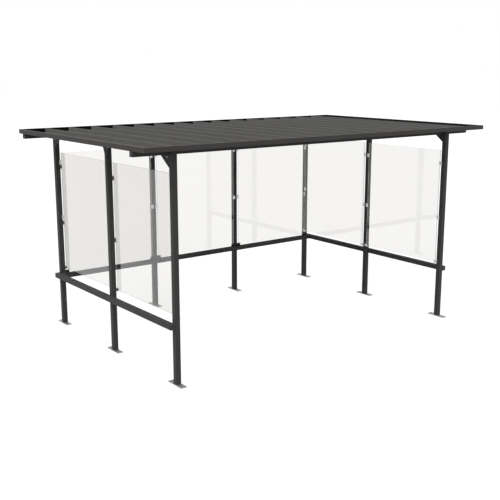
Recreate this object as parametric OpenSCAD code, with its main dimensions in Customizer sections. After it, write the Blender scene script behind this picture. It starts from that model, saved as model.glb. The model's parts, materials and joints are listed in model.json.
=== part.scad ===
// Open-fronted bike shelter: a square-tube steel frame with three glazed sides and a flat ribbed roof.
// +Z is up, the open front faces -Y, and the origin lies on the ground under the middle of the shelter.

/* [Frame] */
// Distance between the centre lines of the left and right posts
frame_w = 3470; // [2700:10:4200]
// Distance between the centre lines of the front and rear posts
frame_d = 2300; // [1800:10:2800]
// Outside width of the square tube
tube = 50; // [40:5:60]
// Wall thickness of the square tube
tube_wall = 3; // [2:0.5:5]
// Clear height under the roof beams
beam_underside = 2036; // [1960:1:2400]
// Height of the underside of the side and rear rails
rail_underside = 520; // [350:5:540]
// Thickness of the plastic caps that close the open tube ends
cap_t = 3; // [2:1:6]

/* [Roof] */
// Roof overhang past the centre lines of the side posts
roof_side = 385; // [150:5:500]
// Roof overhang past the centre line of the front posts
roof_front = 191; // [60:1:320]
// Roof overhang past the centre line of the rear posts
roof_rear = 29; // [29:1:80]
// Distance between neighbouring ribs of the roof sheet
rib_pitch = 262; // [200:1:320]
// Height of the ribs
rib_h = 40.7; // [20:0.1:60]
// Width of a rib at its top
rib_top = 20; // [12:1:30]
// Width of a rib at its foot
rib_foot = 32; // [32:1:90]
// Thickness of the roof sheet
sheet_t = 0.8; // [0.6:0.1:2]
// Thickness of the edge trim
trim_t = 1.5; // [1:0.5:3]
// Width of the lip that the edge trim turns in over the ribs
trim_lip = 26; // [8:1:30]

/* [Glass] */
// Thickness of the glass panels
glass_t = 6; // [5:1:10]
// Rubber-filled gap between the inner face of a post and the glass
glass_gap = 2; // [1:0.5:5]
// Gap between the side of a post and the end of a panel, seen square to the wall
glass_side_gap = 11; // [9:1:16]
// Gap between the glass and the underside of the roof beams
glass_top_gap = 166; // [60:1:300]
// Height of a side panel's lower edge above the rails
side_glass_gap = 52; // [46:1:90]
// Height of a rear panel's lower edge above the rail that carries it
back_glass_gap = 10; // [6:1:20]

/* [Clamps] */
// Longer side of a glass clamp
clamp_long = 44; // [36:1:44]
// Height of a foot clamp
foot_clamp_h = 30; // [24:1:34]
// Depth of a glass clamp, measured from the post
clamp_d = 13; // [12:1:20]
// How much of a clamp's width lies on the post
clamp_on_post = 12; // [8:1:16]
// How far a clamp reaches over the end of a panel
clamp_grip = 9; // [8:1:14]
// Distance from a side panel's top edge to the middle of its upper clamps
side_clamp_drop = 150; // [140:1:200]
// Distance between the upper and the middle clamps of a side wall
side_clamp_gap = 600; // [500:5:640]
// How much higher the rear wall's upper clamps sit than the upper clamps of the side walls
back_upper_step = 45; // [45:1:90]
// How much higher the rear wall's middle clamps sit than the middle clamps of the side walls
back_middle_step = 60; // [45:1:90]
// How much further than the other clamps the rear wall's foot clamps stand from the post
rear_foot_offset = 9; // [0:1:16]

/* [Base plates] */
// Width of a base plate
plate_w = 60; // [56:1:100]
// Length of a base plate, front to rear
plate_l = 220; // [180:5:260]
// Thickness of a base plate
plate_t = 8; // [5:1:12]
// Diameter of the anchor holes
anchor_d = 14; // [10:1:18]
// Distance between the two anchor holes of a plate
anchor_pitch = 160; // [130:5:190]

/* [Gussets] */
// Thickness of a gusset plate
gusset_t = 5; // [3:1:8]
// Length of a corner gusset along the beam
corner_gusset_l = 151; // [80:1:200]
// Height of a corner gusset down the post
corner_gusset_h = 112; // [60:1:160]
// Length of a middle gusset along the rafter
mid_gusset_l = 38; // [20:1:80]
// Height of a middle gusset down the post
mid_gusset_h = 82; // [40:1:120]

/* [Hidden] */

// Plan: the shelter reaches from the roof's front edge to the rear end of the rear base plates.
plan_d = roof_front + frame_d + plate_l / 2;
y_front = roof_front - plan_d / 2;
y_rear = y_front + frame_d;
y_mid = (y_front + y_rear) / 2;
x_side = frame_w / 2;
x_back = frame_w / 6;
half_tube = tube / 2;

// Heights
beam_top = beam_underside + tube;
trim_top = beam_top + sheet_t + rib_h + trim_t;

// Roof outline, to the outside of the edge trim
roof_x = x_side + roof_side;
roof_y0 = y_front - roof_front;
roof_y1 = y_rear + roof_rear;
beam_end_gap = 14;
beam_x = roof_x - beam_end_gap;
rib_n = floor((roof_x - trim_t - rib_foot) / rib_pitch);

// Walls, measured from a post's centre line: across the wall to both faces of the glass, and along
// the wall to the end of the panel and to the near edge of the clamps. In a corner the panels end
// clear of the other wall's clamps.
glass_near = half_tube + glass_gap;
glass_far = glass_near + glass_t;
glass_end = half_tube + glass_side_gap;
corner_clearance = 1;
corner_glass_end = max(glass_end, half_tube + clamp_d + corner_clearance);
clamp_start = half_tube - clamp_on_post;
clamp_w = clamp_on_post + glass_side_gap + clamp_grip;

// Heights of the glass and of the clamps' middles
rail_top = rail_underside + tube;
glass_top = beam_underside - glass_top_gap;
side_glass_z = rail_top + side_glass_gap;
back_glass_z = rail_top + back_glass_gap;
side_clamp_z = [for (i = [0, 1]) glass_top - side_clamp_drop - i * side_clamp_gap];
back_clamp_z = [side_clamp_z[0] + back_upper_step, side_clamp_z[1] + back_middle_step];

// Depth and play of a cap's plug in its tube, and how far a cut runs past the faces that it opens
plug_depth = 12;
plug_fit = 0.2;
past = 1;
hole_sides = 48;

// A length of square tube, hollow from end to end, lying along Z from the origin
module tube_z(length) {
    linear_extrude(length) difference() {
        square(tube, center = true);
        square(tube - 2 * tube_wall, center = true);
    }
}

// A tube along X, centred on x = 0
module tube_x(length) {
    translate([-length / 2, 0, 0]) rotate([0, 90, 0]) tube_z(length);
}

// A tube along Y, starting at y = 0
module tube_y(length) {
    rotate([-90, 0, 0]) tube_z(length);
}

// A post standing on its base plate
module post(x, y, top) {
    color("#3b3a39") translate([x, y, plate_t]) tube_z(top - plate_t);
}

// A base plate under a post, with one anchor hole in front and one behind
module base_plate(x, y) {
    color("#a9abac") translate([x, y, 0]) difference() {
        translate([-plate_w / 2, -plate_l / 2, 0]) cube([plate_w, plate_l, plate_t]);
        for (s = [-1, 1])
            translate([0, s * anchor_pitch / 2, -past])
                cylinder(d = anchor_d, h = plate_t + 2 * past, $fn = hole_sides);
    }
}

// Rail on the outer face of the side posts, closed by end caps flush with the corner posts
module rail_side(s) {
    color("#454443")
        translate([s * (x_side + tube), y_front - half_tube + cap_t, rail_underside + half_tube])
        tube_y(frame_d + tube - 2 * cap_t);
}

// Rail on the inner face of the rear posts, between the two side rails
module rail_back() {
    color("#353433") translate([0, y_rear - tube, rail_underside + half_tube]) tube_x(frame_w + tube);
}

// Beam on the inner face of the front or rear posts, running out on both sides under the roof
module beam(y) {
    color("#353433") translate([0, y, beam_underside + half_tube]) tube_x(2 * (beam_x - cap_t));
}

// Rafter between the beams, resting on the middle side post
module rafter(s) {
    color("#353433") translate([s * x_side, y_front + half_tube + tube, beam_underside + half_tube])
        tube_y(frame_d - 3 * tube);
}

// Triangular plate in a corner: its legs run from the origin along +Y (l) and down (h)
module gusset(l, h) {
    rotate([90, 0, 90]) linear_extrude(gusset_t) polygon([[0, 0], [l, 0], [0, -h]]);
}

// The four gussets of one side, flush with the outer faces of its posts
module gussets(s) {
    middle = s * (x_side + half_tube - gusset_t / 2);
    color("#3b3a39") translate([middle - gusset_t / 2, 0, beam_underside]) {
        translate([0, y_front + half_tube, 0]) gusset(corner_gusset_l, corner_gusset_h);
        translate([0, y_rear - half_tube, 0]) mirror([0, 1, 0]) gusset(corner_gusset_l, corner_gusset_h);
        translate([0, y_mid + half_tube, 0]) gusset(mid_gusset_l, mid_gusset_h);
        translate([0, y_mid - half_tube, 0]) mirror([0, 1, 0]) gusset(mid_gusset_l, mid_gusset_h);
    }
}

// A cap: a flat cover with a plug that slides into the tube, seen along +Z from the tube's end
module end_cap() {
    plug = tube - 2 * tube_wall - 2 * plug_fit;
    translate([-half_tube, -half_tube, 0]) cube([tube, tube, cap_t]);
    translate([-plug / 2, -plug / 2, -plug_depth]) cube([plug, plug, plug_depth]);
}

module tube_end_caps() {
    color("#1d1d1d") for (s = [-1, 1]) {
        for (y = [y_front + tube, y_rear - tube])
            translate([s * (beam_x - cap_t), y, beam_underside + half_tube])
                rotate([0, s * 90, 0]) end_cap();
        for (e = [-1, 1])
            translate([s * (x_side + tube), (y_front + y_rear) / 2 + e * ((frame_d + tube) / 2 - cap_t),
                rail_underside + half_tube]) rotate([-e * 90, 0, 0]) end_cap();
    }
}

// A sheet of glass of a side wall, from y0 to y1
module glass_side(s, y0, y1) {
    color("#dfe5e6", 0.35) mirror([s > 0 ? 1 : 0, 0, 0]) translate([glass_near - x_side, y0, side_glass_z])
        cube([glass_t, y1 - y0, glass_top - side_glass_z]);
}

// A sheet of glass of the rear wall, from x0 to x1
module glass_back(x0, x1) {
    color("#dfe5e6", 0.35) translate([x0, y_rear - glass_far, back_glass_z])
        cube([x1 - x0, glass_t, glass_top - back_glass_z]);
}

// A block on the -Y face of a post, w wide and h high from the origin at its near lower edge. Its
// slot holds a panel whose end is at x = end and whose lower edge is at z = lower.
module clamp(w, h, end, lower) {
    difference() {
        translate([0, -clamp_d, 0]) cube([w, clamp_d, h]);
        translate([end, -glass_gap - glass_t, lower]) cube([w, glass_t, h + past - lower]);
    }
}

// An upright clamp, centred on z = 0, open at the top and bottom
module upright_clamp() {
    translate([0, 0, -clamp_long / 2]) clamp(clamp_w, clamp_long, clamp_on_post + glass_side_gap, -past);
}

// A clamp that lies along the lower edge of a panel and carries it, as thick below the glass as the
// gap over the rear rail
module foot_clamp(offset) {
    clamp(clamp_long, foot_clamp_h, clamp_on_post + glass_side_gap - offset, back_glass_gap);
}

// Places its children against each post of the rear wall that ends a panel, on the panel's side
module at_rear_posts(offset) {
    for (m = [0, 1]) mirror([m, 0, 0]) translate([0, y_rear - half_tube, 0]) {
        translate([clamp_start + offset - x_side, 0, 0]) children();
        translate([clamp_start + offset - x_back, 0, 0]) children();
        translate([-x_back - clamp_start - offset, 0, 0]) mirror([1, 0, 0]) children();
    }
}

// Places its children against each post of a side wall, on the panel's side
module at_side_posts(s) {
    mirror([s > 0 ? 1 : 0, 0, 0]) translate([half_tube - x_side, 0, 0]) {
        for (y = [y_front, y_mid])
            translate([0, y + clamp_start, 0]) rotate([0, 0, 90]) children();
        for (y = [y_mid, y_rear])
            translate([0, y - clamp_start, 0]) mirror([0, 1, 0]) rotate([0, 0, 90]) children();
    }
}

// Clamps of the rear wall at two heights: two on each intermediate post and one on each corner post
module clamps_back() {
    color("#c9cbcc") for (z = back_clamp_z)
        translate([0, 0, z]) at_rear_posts(0) upright_clamp();
}

// Foot clamps of the rear wall, standing on the rail
module foot_clamps_back() {
    color("#1d1d1d") translate([0, 0, back_glass_z - back_glass_gap])
        at_rear_posts(rear_foot_offset) foot_clamp(rear_foot_offset);
}

// Clamps of a side wall at two heights, and its foot clamps
module clamps_side(s) {
    color("#c9cbcc") {
        for (z = side_clamp_z)
            translate([0, 0, z]) at_side_posts(s) upright_clamp();
        translate([0, 0, side_glass_z - back_glass_gap]) at_side_posts(s) foot_clamp(0);
    }
}

// Outline of the roof sheet's top face over one rib, from foot to foot
function rib_points(x) = [
    [x - rib_foot / 2, 0], [x - rib_top / 2, rib_h], [x + rib_top / 2, rib_h], [x + rib_foot / 2, 0]
];

// The same outline for the underside, a sheet thickness below and inside
function rib_inside(x) = [
    [x + rib_foot / 2 - sheet_t, -sheet_t], [x + rib_top / 2 - sheet_t, rib_h - sheet_t],
    [x - rib_top / 2 + sheet_t, rib_h - sheet_t], [x - rib_foot / 2 + sheet_t, -sheet_t]
];

// Ribbed sheet lying on the beams, with its ribs running front to rear
module roof_sheet() {
    sheet_x = roof_x - trim_t;
    over = [for (i = [-rib_n : rib_n]) each rib_points(i * rib_pitch)];
    under = [for (i = [rib_n : -1 : -rib_n]) each rib_inside(i * rib_pitch)];
    right_end = [[sheet_x, 0], [sheet_x, -sheet_t]];
    left_end = [[-sheet_x, -sheet_t], [-sheet_x, 0]];
    color("#5a5958") translate([0, roof_y1 - trim_t, beam_top + sheet_t]) rotate([90, 0, 0])
        linear_extrude(roof_y1 - roof_y0 - 2 * trim_t)
            polygon(concat(over, right_end, under, left_end));
}

// Cross-section of the edge trim: an upright face with a lip turned in over the ribs
module trim_section() {
    height = trim_top - beam_top;
    under_lip = height - trim_t;
    polygon([
        [0, 0], [trim_t, 0], [trim_t, under_lip], [trim_lip, under_lip], [trim_lip, height], [0, height]
    ]);
}

// Front and rear trim run the full width. The side trims fit between them, and their lips are cut
// back at the corners.
module fascia_front() {
    color("#403f3e") translate([-roof_x, roof_y0, beam_top]) rotate([90, 0, 90])
        linear_extrude(2 * roof_x) trim_section();
}

module fascia_rear() {
    color("#403f3e") translate([roof_x, roof_y1, beam_top]) rotate([90, 0, -90])
        linear_extrude(2 * roof_x) trim_section();
}

module fascia_side(s) {
    run = roof_y1 - roof_y0 - 2 * trim_t;
    cut = trim_lip - trim_t;
    color("#484746") mirror([s > 0 ? 1 : 0, 0, 0])
        translate([-roof_x, roof_y1 - trim_t, beam_top]) rotate([90, 0, 0]) difference() {
            linear_extrude(run) trim_section();
            for (z = [-past, run - cut])
                translate([-past, trim_top - beam_top - trim_t, z])
                    cube([trim_lip + 2 * past, trim_t + past, cut + past]);
        }
}

post(-x_side, y_front, beam_top);  // post_front_left
post(-x_side, y_mid, beam_underside);  // post_mid_left
post(-x_side, y_rear, beam_top);  // post_rear_left
post(-x_back, y_rear, beam_top);  // post_back_left
post(x_side, y_front, beam_top);  // post_front_right
post(x_side, y_mid, beam_underside);  // post_mid_right
post(x_side, y_rear, beam_top);  // post_rear_right
post(x_back, y_rear, beam_top);  // post_back_right
base_plate(-x_side, y_front);  // base_plate_front_left
base_plate(-x_side, y_mid);  // base_plate_mid_left
base_plate(-x_side, y_rear);  // base_plate_rear_left
base_plate(-x_back, y_rear);  // base_plate_back_left
base_plate(x_side, y_front);  // base_plate_front_right
base_plate(x_side, y_mid);  // base_plate_mid_right
base_plate(x_side, y_rear);  // base_plate_rear_right
base_plate(x_back, y_rear);  // base_plate_back_right
rail_side(-1);  // rail_left
rail_side(1);  // rail_right
rail_back();
beam(y_front + tube);  // beam_front
beam(y_rear - tube);  // beam_rear
rafter(-1);  // rafter_left
rafter(1);  // rafter_right
gussets(-1);  // gussets_left
gussets(1);  // gussets_right
tube_end_caps();
glass_side(-1, y_front + glass_end, y_mid - glass_end);  // glass_left_front
glass_side(-1, y_mid + glass_end, y_rear - corner_glass_end);  // glass_left_rear
glass_side(1, y_front + glass_end, y_mid - glass_end);  // glass_right_front
glass_side(1, y_mid + glass_end, y_rear - corner_glass_end);  // glass_right_rear
glass_back(-x_side + corner_glass_end, -x_back - glass_end);  // glass_back_left
glass_back(-x_back + glass_end, x_back - glass_end);  // glass_back_mid
glass_back(x_back + glass_end, x_side - corner_glass_end);  // glass_back_right
clamps_side(-1);  // clamps_left
clamps_side(1);  // clamps_right
clamps_back();
foot_clamps_back();
roof_sheet();
fascia_front();
fascia_rear();
fascia_side(-1);  // fascia_left
fascia_side(1);  // fascia_right
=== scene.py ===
# %% [markdown]
# # A glazed bike shelter
#
# The real shelter is a frame of square steel tube with a flat roof of ribbed sheet. Toughened glass
# closes the two sides and the back, and the front stays open. The CAD model fixes the size and place
# of every piece. This lesson gives each piece its true edges, its small fastenings and its finish.
# Each step says what the real thing is, how it could be made in Blender, and why it is made this way.

# %% Load the CAD model as a fixed frame
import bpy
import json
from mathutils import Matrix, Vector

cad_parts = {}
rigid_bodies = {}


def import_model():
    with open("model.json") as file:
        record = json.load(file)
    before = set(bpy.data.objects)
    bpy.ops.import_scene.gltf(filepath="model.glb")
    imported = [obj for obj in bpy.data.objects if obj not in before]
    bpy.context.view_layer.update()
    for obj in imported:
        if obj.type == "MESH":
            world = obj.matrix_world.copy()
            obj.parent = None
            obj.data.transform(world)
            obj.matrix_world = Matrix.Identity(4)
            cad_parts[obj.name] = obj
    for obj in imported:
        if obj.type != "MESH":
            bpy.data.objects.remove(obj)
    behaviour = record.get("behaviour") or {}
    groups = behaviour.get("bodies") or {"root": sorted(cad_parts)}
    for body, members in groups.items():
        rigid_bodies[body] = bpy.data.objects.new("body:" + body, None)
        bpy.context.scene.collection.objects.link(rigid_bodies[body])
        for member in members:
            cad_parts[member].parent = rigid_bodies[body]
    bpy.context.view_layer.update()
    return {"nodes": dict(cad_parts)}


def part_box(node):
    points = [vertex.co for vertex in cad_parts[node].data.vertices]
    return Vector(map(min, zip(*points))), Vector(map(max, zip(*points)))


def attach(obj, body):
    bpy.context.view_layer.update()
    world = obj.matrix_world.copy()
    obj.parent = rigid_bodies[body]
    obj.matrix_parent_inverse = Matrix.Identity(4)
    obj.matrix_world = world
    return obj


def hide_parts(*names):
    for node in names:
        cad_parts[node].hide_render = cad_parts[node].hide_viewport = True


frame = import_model()

# %% Import the tools of the trade
import json
import math
import bmesh
import bpy
from mathutils import Matrix, Vector

scene = bpy.context.scene
print("Blender", bpy.app.version_string)

# %% [markdown]
# ## Units and colours
#
# Blender works in metres and in linear light. A maker thinks in millimetres and in the hex colours of
# a paint chart. One constant and one function translate, so every number below stays readable.

# %% Millimetres and hex colours
MM = 0.001


def linear(hex_colour):
    """Turn an sRGB hex colour into the linear colour that Blender calculates with."""
    values = [int(hex_colour[i:i + 2], 16) / 255 for i in (1, 3, 5)]
    return [v / 12.92 if v <= 0.04045 else ((v + 0.055) / 1.055) ** 2.4 for v in values] + [1.0]


def per_mm(size):
    """The scale of a texture whose features are this many millimetres across."""
    return 1 / (size * MM)


print("mid grey, linear:", [round(value, 3) for value in linear("#808080")])

# %% [markdown]
# ## One function for every node
#
# Materials and Geometry Nodes are both trees of nodes. A single small function adds a node, sets its
# properties and feeds its inputs, either from another node's output or with a plain value.

# %% Add a node
def add(tree, kind, inputs=None, **properties):
    """Add a node: properties are its settings, and inputs maps a socket's name or number to its feed."""
    node = tree.nodes.new(kind)
    for name, value in properties.items():
        setattr(node, name, value)
    for key, feed in (inputs or {}).items():
        if isinstance(feed, bpy.types.NodeSocket):
            tree.links.new(feed, node.inputs[key])
        else:
            node.inputs[key].default_value = feed
    return node


families = ("ShaderNode", "GeometryNode", "FunctionNode")
print("nodes to choose from:", sum(kind.startswith(families) for kind in dir(bpy.types)))

# %% [markdown]
# ## Growing a mesh from a Geometry Nodes tree
#
# A steel section, a ribbed sheet or a row of rivets follows a rule, so a tree of nodes can grow it.
# Each tree has named inputs for its sizes, like the knobs on a machine. `grow` runs a tree once with
# the sizes given, keeps the plain mesh that comes out, and throws the modifier away.

# %% Start a tree, and grow a piece with it
SOCKETS = {float: "Float", int: "Int", "object": "Object", "material": "Material"}


def new_tree(name, **inputs):
    """A Geometry Nodes tree with these named inputs, its input node and its output node."""
    tree = bpy.data.node_groups.new(name, "GeometryNodeTree")
    tree.interface.new_socket("Geometry", in_out="INPUT", socket_type="NodeSocketGeometry")
    for label, kind in inputs.items():
        tree.interface.new_socket(label, in_out="INPUT", socket_type="NodeSocket" + SOCKETS[kind])
    tree.interface.new_socket("Geometry", in_out="OUTPUT", socket_type="NodeSocketGeometry")
    return tree, add(tree, "NodeGroupInput").outputs


def end_tree(tree, geometry, material):
    """Close a tree: make instances real, set the material and hand the result out."""
    real = add(tree, "GeometryNodeRealizeInstances", {"Geometry": geometry})
    painted = add(tree, "GeometryNodeSetMaterial", {"Geometry": real.outputs[0], "Material": material})
    add(tree, "NodeGroupOutput", {0: painted.outputs[0]})
    return tree


def grow(name, tree, start=None, **values):
    """Run a tree on a start mesh with these input values, and return the result as a plain object."""
    seed = bpy.data.objects.new(name + "_seed", start or bpy.data.meshes.new(name + "_seed"))
    scene.collection.objects.link(seed)
    modifier = seed.modifiers.new("Grow", "NODES")
    modifier.node_group = tree
    for socket in tree.interface.items_tree:
        if socket.in_out == "INPUT" and socket.name in values:
            modifier[socket.identifier] = values[socket.name]
    seed.update_tag()
    bpy.context.view_layer.update()
    depsgraph = bpy.context.evaluated_depsgraph_get()
    mesh = bpy.data.meshes.new_from_object(seed.evaluated_get(depsgraph), depsgraph=depsgraph)
    seed.modifiers.remove(modifier)
    bpy.data.objects.remove(seed)
    piece = bpy.data.objects.new(name, mesh)
    scene.collection.objects.link(piece)
    return piece


print("a tree takes these kinds of input:", ", ".join(SOCKETS.values()))

# %% [markdown]
# ## Reading places from the CAD model
#
# Some CAD nodes hold several separate solids, such as the twelve clamps of one wall. Merging their
# loose triangles and following the edges finds each solid again, and its box says where it is. No
# place is typed by hand, so a piece can't end up beside the thing that it belongs to.

# %% Find the separate solids of a CAD node
MERGE = 0.01 * MM


def merged(node):
    """A copy of a CAD node's mesh, with the corners of its loose triangles joined, as a bmesh."""
    work = bmesh.new()
    work.from_mesh(frame["nodes"][node].data)
    bmesh.ops.remove_doubles(work, verts=work.verts, dist=MERGE)
    return work


def solids(node):
    """The (lowest, highest) corners of each separate solid in a CAD node, always in the same order."""
    work = merged(node)
    waiting = set(work.verts)
    boxes = []
    while waiting:
        group, front = set(), [waiting.pop()]
        while front:
            corner = front.pop()
            group.add(corner)
            linked = {edge.other_vert(corner) for edge in corner.link_edges} & waiting
            waiting -= linked
            front.extend(linked)
        points = [corner.co for corner in group]
        boxes.append((Vector([min(p[i] for p in points) for i in range(3)]),
                      Vector([max(p[i] for p in points) for i in range(3)])))
    work.free()
    return sorted(boxes, key=lambda box: tuple(box[0]))


print("solids in clamps_back:", len(solids("clamps_back")))

# %% [markdown]
# ## Edges and clean shading
#
# No real edge is perfectly sharp: saw cuts are deburred, and powder or zinc builds up over a corner.
# A thin bevel catches a line of light along each edge. A weighted normal then keeps the big faces
# looking flat while the bevels shade smoothly. Both stay on the piece as live modifiers.

# %% Soft edges, flat faces
SHARP = math.radians(30)
FLAT = math.radians(0.5)


def finish_edges(piece, width=0.0, steps=2):
    """Round a piece's sharp edges by this width in mm, and shade it flat between them."""
    for polygon in piece.data.polygons:
        polygon.use_smooth = True
    if width:
        bevel = piece.modifiers.new("Soft edges", "BEVEL")
        bevel.width = width * MM
        bevel.segments = steps
        bevel.limit_method = "ANGLE"
        bevel.angle_limit = SHARP
        bevel.use_clamp_overlap = True
    else:
        piece.data.set_sharp_from_angle(angle=SHARP)
    normals = piece.modifiers.new("Flat faces", "WEIGHTED_NORMAL")
    normals.keep_sharp = True
    return piece


def softened(node, material, width, steps=2):
    """A piece that stands for a CAD node: its exact shape, with every sharp edge softened."""
    work = merged(node)
    bmesh.ops.dissolve_limit(work, angle_limit=FLAT, verts=work.verts, edges=work.edges)
    mesh = bpy.data.meshes.new(node + "_soft")
    work.to_mesh(mesh)
    work.free()
    mesh.materials.append(material)
    piece = bpy.data.objects.new(node + "_soft", mesh)
    scene.collection.objects.link(piece)
    return finish_edges(piece, width, steps)


def hand_in(piece, slot, *nodes):
    """Tie a finished piece to the frame's body and hide the CAD nodes it stands for; slot is not used."""
    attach(piece, "root")
    if nodes:
        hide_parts(*nodes)
    return piece


print("an edge is rounded where it turns more than", round(math.degrees(SHARP)), "degrees")

# %% [markdown]
# # Finishes
#
# Every material starts from what the real one is and how its surface was made. All patterns read
# Object coordinates, which are metres in the shelter's own frame, so a grain of three millimetres is
# three millimetres everywhere.

# %% Start a material
def new_material(name):
    """An empty material, its tree, and the Object coordinates that its patterns follow."""
    material = bpy.data.materials.new(name)
    material.use_nodes = True
    material.node_tree.nodes.clear()
    place = add(material.node_tree, "ShaderNodeTexCoord").outputs["Object"]
    return material, material.node_tree, place


print("a 3 mm grain has a texture scale of", round(per_mm(3)))

# %% [markdown]
# ## Powder coat
#
# The frame is steel tube with a baked-on anthracite polyester powder. The powder flows out unevenly
# as it melts, which leaves a fine orange peel, and its matting agent gives a dull, even sheen. Up
# close the eye sees small soft bumps; from afar it sees a slightly uneven dark grey.
# The peel is about 2.5 mm from crest to crest, and the thickness drifts over a hand's width.

# %% Powder coat for the frame
def powder_coat(name, colour, pale, roughness, specular):
    """A matt polyester powder coat between two close colours."""
    material, tree, place = new_material(name)
    drift = add(tree, "ShaderNodeTexNoise", {"Vector": place, "Scale": per_mm(140), "Detail": 3.0})
    peel = add(tree, "ShaderNodeTexNoise", {"Vector": place, "Scale": per_mm(2.5), "Detail": 2.0})
    grain = add(tree, "ShaderNodeTexNoise", {"Vector": place, "Scale": per_mm(0.6), "Detail": 1.0})
    tone = add(tree, "ShaderNodeMix", {
        "Factor": drift.outputs["Fac"], 6: linear(colour), 7: linear(pale)}, data_type="RGBA")
    sheen = add(tree, "ShaderNodeMapRange", {
        "Value": peel.outputs["Fac"], "To Min": roughness - 0.05, "To Max": roughness + 0.06})
    bumps = add(tree, "ShaderNodeMath", {
        0: peel.outputs["Fac"], 1: grain.outputs["Fac"]}, operation="ADD")
    bump = add(tree, "ShaderNodeBump", {
        "Height": bumps.outputs[0], "Strength": 0.25, "Distance": 0.05 * MM})
    shader = add(tree, "ShaderNodeBsdfPrincipled", {
        "Base Color": tone.outputs[2], "Roughness": sheen.outputs[0], "Normal": bump.outputs[0],
        "Specular IOR Level": specular})
    add(tree, "ShaderNodeOutputMaterial", {"Surface": shader.outputs[0]})
    return material


frame_coat = powder_coat("anthracite_powder_coat", "#3D3C3B", "#434241", roughness=0.6, specular=0.15)
print("made", frame_coat.name)

# %% [markdown]
# ## Coil-coated roof sheet
#
# Roof sheet is galvanised strip, painted on a coil line and then roll-formed. The paint is smoother
# than powder, with a faint texture, and the rolls leave very slight streaks along the ribs. Streaks
# are a noise stretched along Y, the direction in which the sheet ran through the rolls.

# %% Coil coating for the roof sheet and its edge trim
def coil_coat(name, colour, pale, roughness, specular, stretch):
    """A painted strip with faint streaks; stretch shrinks the noise along the streaks."""
    material, tree, place = new_material(name)
    drawn = add(tree, "ShaderNodeMapping", {"Vector": place, "Scale": stretch})
    streaks = add(tree, "ShaderNodeTexNoise", {
        "Vector": drawn.outputs[0], "Scale": per_mm(45), "Detail": 3.0})
    dust = add(tree, "ShaderNodeTexNoise", {"Vector": place, "Scale": per_mm(260), "Detail": 4.0})
    grain = add(tree, "ShaderNodeTexNoise", {"Vector": place, "Scale": per_mm(1.2), "Detail": 1.0})
    mixed = add(tree, "ShaderNodeMath", {
        0: streaks.outputs["Fac"], 1: dust.outputs["Fac"]}, operation="MULTIPLY")
    share = add(tree, "ShaderNodeMapRange", {
        "Value": mixed.outputs[0], "From Min": 0.12, "From Max": 0.38})
    tone = add(tree, "ShaderNodeMix", {
        "Factor": share.outputs[0], 6: linear(colour), 7: linear(pale)}, data_type="RGBA")
    sheen = add(tree, "ShaderNodeMapRange", {
        "Value": streaks.outputs["Fac"], "To Min": roughness - 0.05, "To Max": roughness + 0.05})
    bump = add(tree, "ShaderNodeBump", {
        "Height": grain.outputs["Fac"], "Strength": 0.15, "Distance": 0.03 * MM})
    shader = add(tree, "ShaderNodeBsdfPrincipled", {
        "Base Color": tone.outputs[2], "Roughness": sheen.outputs[0], "Normal": bump.outputs[0],
        "Specular IOR Level": specular})
    add(tree, "ShaderNodeOutputMaterial", {"Surface": shader.outputs[0]})
    return material


roof_coat = coil_coat("coil_coated_roof_sheet", "#646362", "#686766", roughness=0.8, specular=0.01,
                      stretch=(1, 0.06, 1))
trim_coat = coil_coat("coil_coated_edge_trim", "#413F3E", "#464443", roughness=0.6, specular=0.15,
                      stretch=(0.4, 0.4, 1))
print("made", roof_coat.name, "and", trim_coat.name)

# %% [markdown]
# ## Hot-dip zinc
#
# The base plates are dipped in molten zinc. The zinc freezes in flat crystals, the spangle, each
# tilted a little differently, so the plate is a patchwork of slightly lighter and darker greys. A
# Voronoi texture gives the crystals, about 9 mm across, and their colour steps drive tone and gloss.

# %% Zinc for the base plates
def hot_dip_zinc():
    """Galvanised steel: metallic, pale grey, with a spangle of frozen crystals."""
    material, tree, place = new_material("hot_dip_zinc")
    warp = add(tree, "ShaderNodeTexNoise", {"Vector": place, "Scale": per_mm(6), "Detail": 2.0})
    bent = add(tree, "ShaderNodeVectorMath", {
        0: warp.outputs["Color"], "Scale": 3 * MM}, operation="SCALE")
    shifted = add(tree, "ShaderNodeVectorMath", {0: place, 1: bent.outputs[0]}, operation="ADD")
    crystals = add(tree, "ShaderNodeTexVoronoi", {"Vector": shifted.outputs[0], "Scale": per_mm(9)})
    facet = add(tree, "ShaderNodeSeparateColor", {"Color": crystals.outputs["Color"]})
    tone = add(tree, "ShaderNodeMix", {
        "Factor": facet.outputs[0], 6: linear("#9C9FA1"), 7: linear("#B4B6B7")}, data_type="RGBA")
    gloss = add(tree, "ShaderNodeMapRange", {"Value": facet.outputs[1], "To Min": 0.42, "To Max": 0.6})
    bump = add(tree, "ShaderNodeBump", {
        "Height": warp.outputs["Fac"], "Strength": 0.2, "Distance": 0.1 * MM})
    shader = add(tree, "ShaderNodeBsdfPrincipled", {
        "Base Color": tone.outputs[2], "Metallic": 0.85, "Roughness": gloss.outputs[0],
        "Normal": bump.outputs[0]})
    add(tree, "ShaderNodeOutputMaterial", {"Surface": shader.outputs[0]})
    return material


zinc = hot_dip_zinc()
print("made", zinc.name)

# %% [markdown]
# ## Tumbled nickel plate
#
# The glass clamps are die-cast zinc alloy, tumbled smooth and nickel plated. Tumbling rounds off
# every edge and leaves a fine, direction-free satin. The same finish, a little darker, suits the
# electroplated screws and bolts.

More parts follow.
